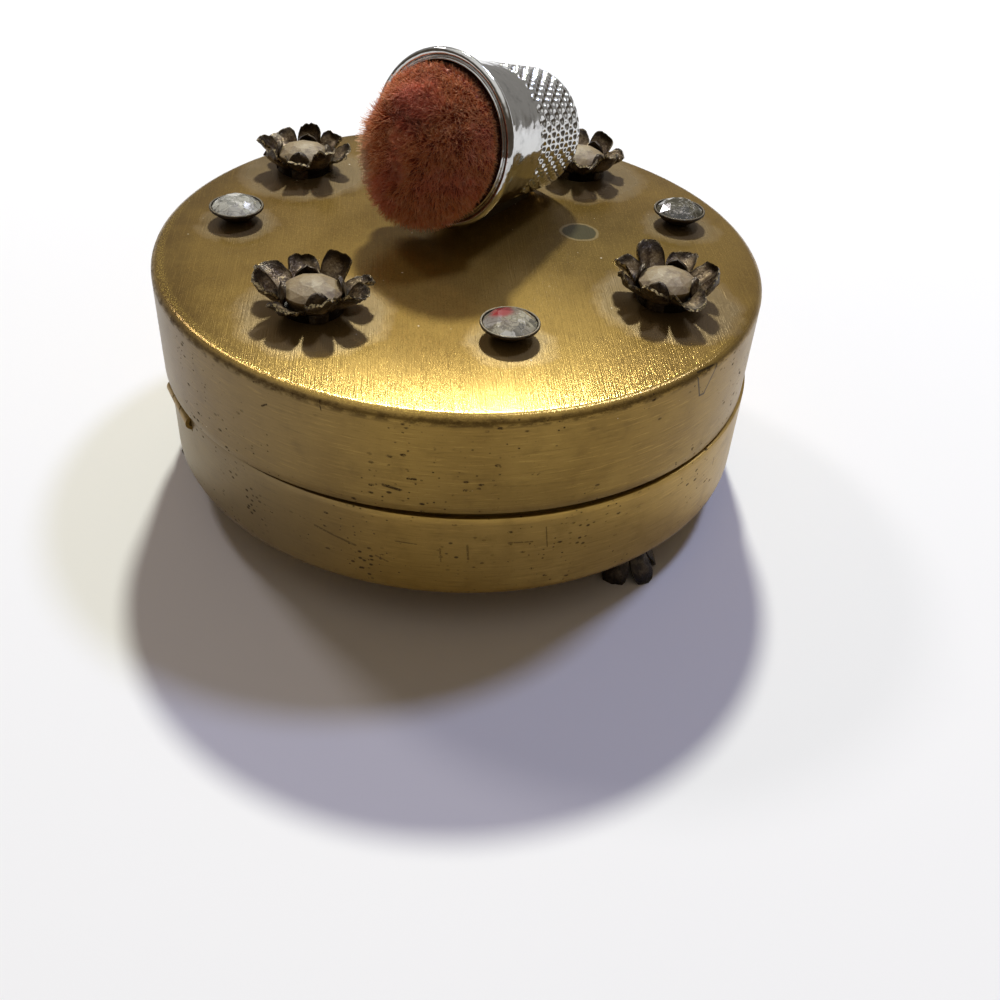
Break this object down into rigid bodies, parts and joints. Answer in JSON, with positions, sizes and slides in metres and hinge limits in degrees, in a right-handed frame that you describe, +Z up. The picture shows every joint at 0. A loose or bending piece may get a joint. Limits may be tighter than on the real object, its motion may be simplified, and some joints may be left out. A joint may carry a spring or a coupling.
{
  "type": "pincushion box",
  "caption": "Round hinged brass box on small petal feet, with petal cups and set stones round its lid and a velvet-stuffed thimble as a pincushion.",
  "frame": {"origin": "on the axis of the base, in the plane of the table it stands on", "axes": "+Z up; the lid's hinge is on the -X side, and -Y is the side nearer a viewer of the picture"},
  "size_m": [0.0644, 0.064, 0.0441],
  "materials": {
    "box_brass": "brushed and aged, satin",
    "collar_brass": "plain, satin",
    "hinge_brass": "dull",
    "pin_steel": "plain",
    "thimble_plate": "bright plating",
    "glue": "hardened clear glue",
    "velvet": "short worn pile",
    "petal_brass": "darkened, dull",
    "cup_glass": "foiled back, clouded",
    "collet_metal": "tarnished",
    "stone_glass": "foiled back, cut"
  },
  "bodies": {
    "base": {"base_shell": "box_brass", "base_collar": "collar_brass", "hinge_base_leaf": "hinge_brass", "hinge_pin": "pin_steel", "foot_left": "petal_brass", "foot_front": "petal_brass", "foot_back": "petal_brass"},
    "lid": {"lid_shell": "box_brass", "hinge_lid_leaf": "hinge_brass", "thimble": "thimble_plate", "thimble_glue": "glue", "pincushion": "velvet", "petal_cup_left": "petal_brass", "petal_cup_front": "petal_brass", "petal_cup_right": "petal_brass", "petal_cup_back": "petal_brass", "cup_stone_left": "cup_glass", "cup_stone_front": "cup_glass", "cup_stone_right": "cup_glass", "cup_stone_back": "cup_glass", "collet_left": "collet_metal", "collet_front": "collet_metal", "collet_right": "collet_metal", "collet_back": "collet_metal", "collet_stone_left": "stone_glass", "collet_stone_front": "stone_glass", "collet_stone_right": "stone_glass", "collet_stone_back": "stone_glass"}
  },
  "joints": [
    {"name": "lid_hinge", "type": "hinge", "parent": "base", "child": "lid", "pos_m": [-0.0316, 0, 0.01285], "axis": [0, -1, 0], "range_deg": [0, 110]}
  ]
}
